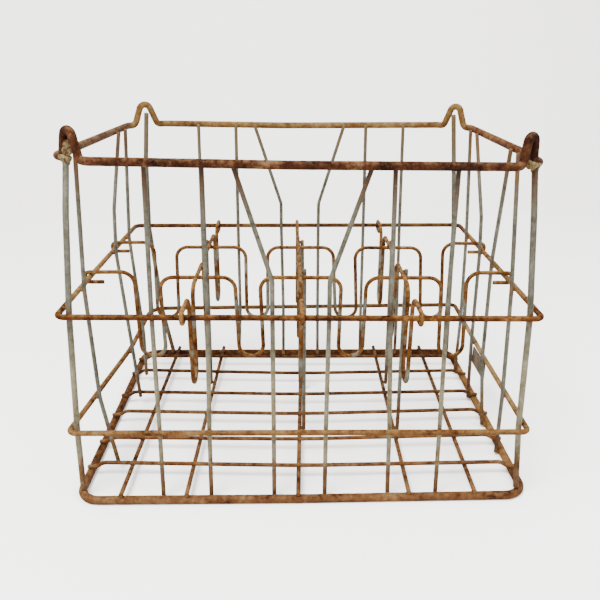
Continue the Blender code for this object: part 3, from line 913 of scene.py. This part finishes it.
def add_skin(node, route, diameter, slot, closed=False, finish=None):
    """The finer tube, pitted by rust, that stands for one wire or rod of the frame."""
    name = node + "_skin"
    radius = diameter / 2
    points = spaced(rounded(route, closed), closed, SPACING)
    ROUTES[name] = (points, radius, closed)
    widths = [1.0] * len(points)
    if not closed:
        points, widths = cut_ends(points)
    thick = diameter > THICK_WIRE
    around = ROD_SIDES if thick else WIRE_SIDES
    pitting = ROD_PITTING if thick else WIRE_PITTING
    travel, sides = directions(points, closed)
    vertices = []
    for point, width, ahead, side in zip(points, widths, travel, sides):
        up = ahead.cross(side)
        for step in range(around):
            angle = 2 * math.pi * step / around
            outward = side * math.cos(angle) + up * math.sin(angle)
            spot = point + outward * radius
            pit = 0.5 + 0.5 * noise.fractal(spot / PIT_SIZE, *FRACTAL)
            reach = radius * width * (1 - pitting * min(max(pit, 0), 1))
            vertices.append(in_box((point + outward * reach + CENTERING) * MM))
    mesh = new_mesh(name, vertices, tube_faces(len(points), around, closed))
    for face in mesh.polygons:
        face.use_smooth = len(face.vertices) == 4
    add_piece(name, mesh, slot, node, finish=finish)


def add_ring(name, corners, dents, bends, diameter, slot, finish=None):
    """A closed ring through its four corners and the dents of its walls."""
    route = []
    for corner, bend, wall in zip(corners, bends, ("front", "right", "rear", "left")):
        route.append((corner, bend))
        if wall in dents:
            route.append((dents[wall], DENT_BEND))
    add_skin(name, route, diameter, slot, closed=True, finish=finish)


def build_rings():
    route = []
    for index, wall in enumerate(("front", "right", "rear", "left")):
        long_end, side_end = ear_ends(index)
        if index % 2 == 0:
            route.extend(ear_route(side_end, long_end, EAR_SIDE_FLAT, EAR_LONG_FLAT))
        else:
            route.extend(ear_route(long_end, side_end, EAR_LONG_FLAT, EAR_SIDE_FLAT))
        if wall in RIM_DENTS:
            route.append((RIM_DENTS[wall], DENT_BEND))
    add_skin("top_rim", route, RIM_ROD, "rim_rust", closed=True)
    add_ring("mid_ring", MID_CORNERS, MID_DENTS, MID_BENDS, RING_WIRE, "ring_rust")
    add_ring("lower_ring", LOWER_CORNERS, LOWER_DENTS, LOWER_BENDS, RING_WIRE, "ring_rust",
             finish="lower_rust")
    add_ring("base_frame", BASE_CORNERS, BASE_DENTS, BASE_BENDS, BASE_ROD, "base_rust")


def build_uprights():
    walls = (("front", FRONT_WIRES, UPRIGHT_FOOT_Z), ("rear", REAR_WIRES, REAR_FOOT_Z))
    for wall, wires, foot_z in walls:
        for name, places in wires.items():
            crank = LONG_CRANK_Z if "cranked" in name else None
            route = upright_route(wall, places, crank, foot_z=foot_z)
            add_skin(name, route, UPRIGHT_WIRE, "galvanised")
    for name, places in RIGHT_WIRES.items():
        route = upright_route("right", places, RIGHT_CRANK_Z.get(name))
        add_skin(name, route, UPRIGHT_WIRE, "galvanised")
    for name, places in LEFT_WIRES.items():
        route = upright_route(
            "left", places, LEFT_CRANK_Z.get(name), LEFT_CRANK_Y.get(name),
            foot=LEFT_FEET[name], foot_z=LEFT_FOOT_Z)
        add_skin(name, route, UPRIGHT_WIRE, "galvanised")
    for index, (name, points) in enumerate(POSTS):
        route = [(post_top(index), 0)]
        route.extend((point, WIRE_BEND) for point in points)
        add_skin(name, route, POST_ROD, "galvanised")


def build_dividers():
    for name, y in ROW_DIVIDERS.items():
        left = along(wall_run(MID_CORNERS, MID_DENTS, "left"), 1, y)[0].x
        right = along(wall_run(MID_CORNERS, MID_DENTS, "right"), 1, y)[0].x
        flat = meander_route(ROW_DIPS[name], ROW_DIVIDER_HUMP_Z, ROW_DIVIDER_END_Z, left, right)
        route = [((x, y, z), radius) for (x, z), radius in flat]
        add_skin(name, route, DIVIDER_WIRE, "divider_rust")
    for name, (front_x, rear_x) in COLUMN_DIVIDERS.items():
        front = along(wall_run(MID_CORNERS, MID_DENTS, "front"), 0, front_x)[0].y
        rear = along(wall_run(MID_CORNERS, MID_DENTS, "rear"), 0, rear_x)[0].y
        flat = meander_route(
            COLUMN_DIPS[name], COLUMN_DIVIDER_Z, COLUMN_DIVIDER_Z + WELD_GAP, front, rear)
        route = [((column_x(name, y), y, z), radius) for (y, z), radius in flat]
        add_skin(name, route, DIVIDER_WIRE, "divider_rust")
    for name, (row_divider, column_divider, side, wire) in DIVIDER_LEGS.items():
        y = ROW_DIVIDERS[row_divider] + contact(DIVIDER_WIRE, UPRIGHT_WIRE)
        top_x = column_x(column_divider, y) + side * contact(DIVIDER_WIRE, UPRIGHT_WIRE)
        foot_x = cross_x(wire, y) + side * contact(CROSS_WIRE, UPRIGHT_WIRE)
        route = [((top_x, y, LEG_TOP_Z), 0), ((foot_x, y, LEG_FOOT_Z), 0)]
        add_skin(name, route, UPRIGHT_WIRE, "galvanised")


def build_floor():
    for name, (front_x, rear_x) in CROSS_WIRES.items():
        front_y = along(wall_run(BASE_CORNERS, BASE_DENTS, "front"), 0, front_x)[0].y
        rear_y = along(wall_run(BASE_CORNERS, BASE_DENTS, "rear"), 0, rear_x)[0].y
        route = [((front_x, front_y - CROSS_OVERHANG, CROSS_Z), 0),
                 ((rear_x, rear_y + CROSS_OVERHANG, CROSS_Z), 0)]
        add_skin(name, route, CROSS_WIRE, "floor_rust")
    for name, (left_y, middle_y, right_y) in LONG_WIRES.items():
        left = along(wall_run(BASE_CORNERS, BASE_DENTS, "left"), 1, left_y)[0].x
        right = along(wall_run(BASE_CORNERS, BASE_DENTS, "right"), 1, right_y)[0].x
        route = [
            ((left - LONG_OVERHANG, left_y, LONG_END_Z), 0),
            ((left + LONG_STEP_START, left_y, LONG_END_Z), HUMP_BEND),
            ((left + LONG_STEP_END, left_y, LONG_FLAT_Z), HUMP_BEND),
            ((0, middle_y, LONG_FLAT_Z), 40 * HUMP_BEND),
            ((right - LONG_STEP_END, right_y, LONG_FLAT_Z), HUMP_BEND),
            ((right - LONG_STEP_START, right_y, LONG_END_Z), HUMP_BEND),
            ((right + LONG_OVERHANG, right_y, LONG_END_Z), 0),
        ]
        add_skin(name, route, FLOOR_WIRE, "floor_rust")


def build_plate():
    """Blank plate with rounded corners and a low raised border."""
    ring_reach = contact(RING_WIRE, UPRIGHT_WIRE)
    run = wall_run(LOWER_CORNERS, LOWER_DENTS, "right")
    wire_x = against(run, "right", PLATE_CENTER_Y, ring_reach).x
    inner_x = wire_x + UPRIGHT_WIRE / 2 + 2 * WELD_GAP

    def outline(inset, x):
        half_y, half_z = PLATE_LENGTH / 2 - inset, PLATE_HEIGHT / 2 - inset
        bend = max(PLATE_CORNER - inset, 0.6)
        spots = []
        for quarter in range(4):
            diagonal = math.pi / 4 + math.pi / 2 * quarter
            center_y = math.copysign(half_y - bend, math.cos(diagonal))
            center_z = math.copysign(half_z - bend, math.sin(diagonal))
            for step in range(PLATE_CORNER_STEPS + 1):
                angle = math.pi / 2 * (quarter + step / PLATE_CORNER_STEPS)
                spots.append(Vector((
                    x, PLATE_CENTER_Y + center_y + bend * math.cos(angle),
                    PLATE_TOP_Z - PLATE_HEIGHT / 2 + center_z + bend * math.sin(angle))))
        return spots

    outer_x = inner_x + PLATE_THICKNESS
    loops = [
        outline(PLATE_BEVEL, inner_x), outline(0, inner_x + PLATE_BEVEL),
        outline(0, outer_x - PLATE_BEVEL), outline(PLATE_BEVEL, outer_x),
        outline(PLATE_BORDER, outer_x), outline(PLATE_BORDER_FOOT, inner_x + PLATE_SHEET)]
    vertices = [in_box((spot + CENTERING) * MM) for loop in loops for spot in loop]
    mesh = new_mesh("name_plate_skin", vertices, tube_faces(len(loops), len(loops[0])))
    add_piece("name_plate_skin", mesh, "plate_metal", "name_plate")


def touching_spots():
    """Every place where two wires touch: their names, the place, the way across and a size."""
    samples = []
    for name, (points, radius, closed) in ROUTES.items():
        for point in spaced(points, closed, BEAD_SAMPLE):
            samples.append((point, radius, name))
    tree = kdtree.KDTree(len(samples))
    for index, (point, _, _) in enumerate(samples):
        tree.insert(point, index)
    tree.balance()
    found = {}
    for point, radius, name in samples:
        for other, index, distance in tree.find_range(point, 2 * BASE_ROD):
            other_radius, other_name = samples[index][1:]
            if name >= other_name or distance > radius + other_radius + BEAD_REACH:
                continue
            found.setdefault((name, other_name), []).append(
                (distance, point.copy(), other.copy(), radius, other_radius))
    for names, pairs in sorted(found.items()):
        kept = []
        for distance, point, other, radius, other_radius in sorted(pairs, key=lambda pair: pair[0]):
            across = (other - point).normalized()
            spot = point + across * (radius + (distance - radius - other_radius) / 2)
            if all((spot - previous).length > BEAD_SPREAD for previous in kept):
                kept.append(spot)
                yield names, spot, across, min(radius, other_radius)


def add_bead(mesh, spot, radius, fineness, matrix, unevenness):
    """A ball of weld metal, placed by a matrix and made uneven by a function."""
    made = bmesh.ops.create_icosphere(mesh, subdivisions=fineness, radius=radius, matrix=matrix)
    for vertex in made["verts"]:
        point = spot + (vertex.co - spot) * (1 + unevenness(vertex.co))
        vertex.co = in_box((point + CENTERING) * MM)


def add_beads(name, mesh, slot, finish=None):
    """Beads as one smooth piece of the crate."""
    data = bpy.data.meshes.new(name)
    mesh.to_mesh(data)
    mesh.free()
    for face in data.polygons:
        face.use_smooth = True
    add_piece(name, data, slot, finish=finish)


def build_welds():
    """Small uneven beads of weld metal at the joints, grouped by the rod they are on."""
    groups = {
        "top_rim": ("welds_rim", "rim_rust"), "mid_ring": ("welds_mid_ring", "ring_rust"),
        "lower_ring": ("welds_lower_ring", "ring_rust"), "base_frame": ("welds_base", "base_rust"),
        "divider": ("welds_dividers", "divider_rust"), "wire": ("welds_floor", "floor_rust")}
    meshes = {}
    for names, spot, across, size in touching_spots():
        key = next(key for key in groups if any(key in name for name in names))
        mesh = meshes.setdefault(key, bmesh.new())
        turn = across.to_track_quat("Z", "X").to_matrix().to_4x4()
        width = size * BEAD_WIDTH
        shape = Matrix.Diagonal((width, width, size * BEAD_THICKNESS, 1))
        add_bead(mesh, spot, 1, 2, Matrix.Translation(spot) @ turn @ shape,
                 lambda place: BEAD_UNEVEN * noise.noise(place / BEAD_GRAIN))
    for key, mesh in meshes.items():
        name, slot = groups[key]
        add_beads(name, mesh, slot)


# Each lump is given by its offset towards the side run, its rise and its size.
EAR_LUMPS = [
    [(-2.0, 1.5, 4.2), (3.0, 2.5, 4.6), (0.5, -2.0, 3.6), (-4.0, 8.0, 4.2), (-5.0, 14.0, 3.4)],
    [(-9.5, 4.0, 4.0), (1.5, 3.5, 4.4), (-4.0, 4.5, 4.2), (0.0, -1.0, 3.5)],
]


def build_ear_welds():
    """A crusty lump of weld where each front post ends under its ear."""
    mesh = bmesh.new()
    for index in (0, 1):
        top = Vector(post_top(index))
        long_end, side_end = ear_ends(index)
        ahead = (side_end - long_end).normalized()
        for aside, rise, size in EAR_LUMPS[index]:
            spot = top + ahead * aside + Vector((0, 0, rise))
            add_bead(mesh, spot, size, 3, Matrix.Translation(spot),
                     lambda place: LUMP_UNEVEN * noise.fractal(place / LUMP_GRAIN, *FRACTAL))
    add_beads("welds_ears", mesh, "rim_rust", finish="weld_scale")


def build_stage():
    """A pale sweep of paper that curves up behind the crate."""
    profile = [(PAPER_FRONT, 0.0), (PAPER_FLAT_END, 0.0)]
    for step in range(1, PAPER_BEND_STEPS + 1):
        angle = math.pi / 2 * step / PAPER_BEND_STEPS
        profile.append((PAPER_FLAT_END + PAPER_BEND * math.sin(angle),
                        PAPER_BEND * (1 - math.cos(angle))))
    profile.append((PAPER_FLAT_END + PAPER_BEND, PAPER_TOP))
    vertices = [(x, y, z) for y, z in profile for x in (-PAPER_REACH, PAPER_REACH)]
    faces = [(2 * index, 2 * index + 1, 2 * index + 3, 2 * index + 2)
             for index in range(len(profile) - 1)]
    mesh = new_mesh("paper_sweep", vertices, faces)
    for face in mesh.polygons:
        face.use_smooth = True
    paper = bpy.data.materials.new("paper")
    paper.use_nodes = True
    shader = paper.node_tree.nodes["Principled BSDF"]
    shader.inputs["Base Color"].default_value = PAPER_COLOR
    shader.inputs["Roughness"].default_value = 0.95
    shader.inputs["Specular IOR Level"].default_value = PAPER_GLOSS
    mesh.materials.append(paper)
    sweep = bpy.data.objects.new("paper_sweep", mesh)
    bpy.context.scene.collection.objects.link(sweep)


def build_lights():
    """The lights, aimed at the crate, and an even white sky."""
    for name, place, size, power in LIGHTS:
        light = bpy.data.lights.new(name, "AREA")
        light.shape = "DISK"
        light.size = size
        light.energy = power
        lamp = bpy.data.objects.new(name, light)
        lamp.location = place
        aim = LIGHT_TARGET - Vector(place)
        lamp.rotation_euler = aim.to_track_quat("-Z", "Y").to_euler()
        bpy.context.scene.collection.objects.link(lamp)
    world = bpy.data.worlds.new("studio")
    world.use_nodes = True
    background = world.node_tree.nodes["Background"]
    background.inputs["Color"].default_value = SKY_COLOR
    background.inputs["Strength"].default_value = SKY_STRENGTH
    bpy.context.scene.world = world


def build_camera():
    """The camera of the photo."""
    right = CAMERA_RIGHT.normalized()
    up = (CAMERA_UP - right * CAMERA_UP.dot(right)).normalized()
    back = right.cross(up)
    place = CAMERA_PLACE * MM
    camera_data = bpy.data.cameras.new("camera")
    camera_data.sensor_width = SENSOR
    camera_data.lens = LENS
    camera_data.shift_y = SHIFT_Y
    camera_data.clip_start = 0.01
    camera = bpy.data.objects.new("camera", camera_data)
    camera.matrix_world = Matrix((
        (right.x, up.x, back.x, place.x),
        (right.y, up.y, back.y, place.y),
        (right.z, up.z, back.z, place.z),
        (0, 0, 0, 1)))
    bpy.context.scene.collection.objects.link(camera)
    bpy.context.scene.camera = camera


build_rings()
build_uprights()
build_dividers()
build_floor()
build_plate()
build_welds()
build_ear_welds()
build_stage()
build_lights()
build_camera()
